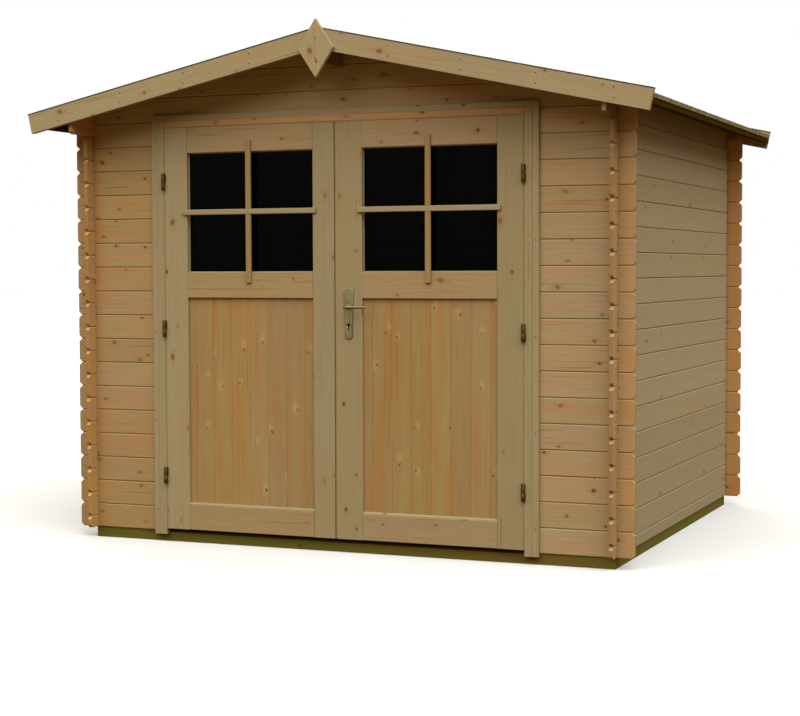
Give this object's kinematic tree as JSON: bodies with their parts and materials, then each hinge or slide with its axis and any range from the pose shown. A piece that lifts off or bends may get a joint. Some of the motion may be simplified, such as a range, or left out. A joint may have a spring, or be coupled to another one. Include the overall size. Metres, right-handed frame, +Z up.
{
  "type": "garden shed",
  "caption": "Log-board garden shed with cross-lapped corners, a glazed pair of outward-opening doors and a low gable roof on treated bearers.",
  "frame": {"origin": "on the ground, under the middle of the roof", "axes": "+Z up, +X to the right when facing the doors, +Y from the doors to the rear wall"},
  "size_m": [3.022, 2.5823, 2.3905],
  "materials": {
    "log_wood": "planed natural spruce",
    "roof_wood": "planed natural spruce boards",
    "barge_wood": "planed natural spruce",
    "frame_wood": "planed natural spruce joinery",
    "panel_wood": "planed natural pine matchboard",
    "floor_wood": "planed natural spruce boards",
    "treated_wood": "green pressure-treated pine",
    "glass": "clear float glass",
    "bronzed_steel": "bronzed steel",
    "satin_nickel": "satin nickel"
  },
  "bodies": {
    "shed": {"front_wall_left": "log_wood", "front_wall_right": "log_wood", "rear_wall": "log_wood", "left_wall": "log_wood", "right_wall": "log_wood", "front_gable": "log_wood", "rear_gable": "log_wood", "left_eave_log": "log_wood", "right_eave_log": "log_wood", "ridge_purlin": "log_wood", "left_roof": "roof_wood", "right_roof": "roof_wood", "eave_battens": "roof_wood", "front_bargeboards": "barge_wood", "rear_bargeboards": "barge_wood", "gable_finial": "barge_wood", "left_door_post": "frame_wood", "right_door_post": "frame_wood", "door_head": "frame_wood", "outer_door_trims": "frame_wood", "inner_door_trims": "frame_wood", "threshold": "frame_wood", "floor": "floor_wood", "front_bearer": "treated_wood", "rear_bearer": "treated_wood", "side_bearers": "treated_wood", "floor_joists": "treated_wood", "left_frame_hinges": "bronzed_steel", "right_frame_hinges": "bronzed_steel"},
    "left_door": {"left_door_stiles": "frame_wood", "left_door_rails": "frame_wood", "left_door_panel": "panel_wood", "left_door_glass": "glass", "left_door_hinges": "bronzed_steel"},
    "right_door": {"right_door_stiles": "frame_wood", "right_door_rails": "frame_wood", "right_door_panel": "panel_wood", "right_door_glass": "glass", "right_door_hinges": "bronzed_steel", "lock_plates": "satin_nickel"},
    "lever": {"door_lever": "satin_nickel"}
  },
  "joints": [
    {"name": "left_door_swing", "type": "hinge", "parent": "shed", "child": "left_door", "pos_m": [-0.8905, -1.095, 1], "axis": [0, 0, -1], "range_deg": [0, 155]},
    {"name": "right_door_swing", "type": "hinge", "parent": "shed", "child": "right_door", "pos_m": [0.8905, -1.095, 1], "axis": [0, 0, 1], "range_deg": [0, 155]},
    {"name": "lever_turn", "type": "hinge", "parent": "right_door", "child": "lever", "pos_m": [0.06, -1.0685, 1.121], "axis": [0, 1, 0], "range_deg": [0, 40], "stiffness_Nm_per_rad": 1.2, "springref_deg": -34.38}
  ]
}
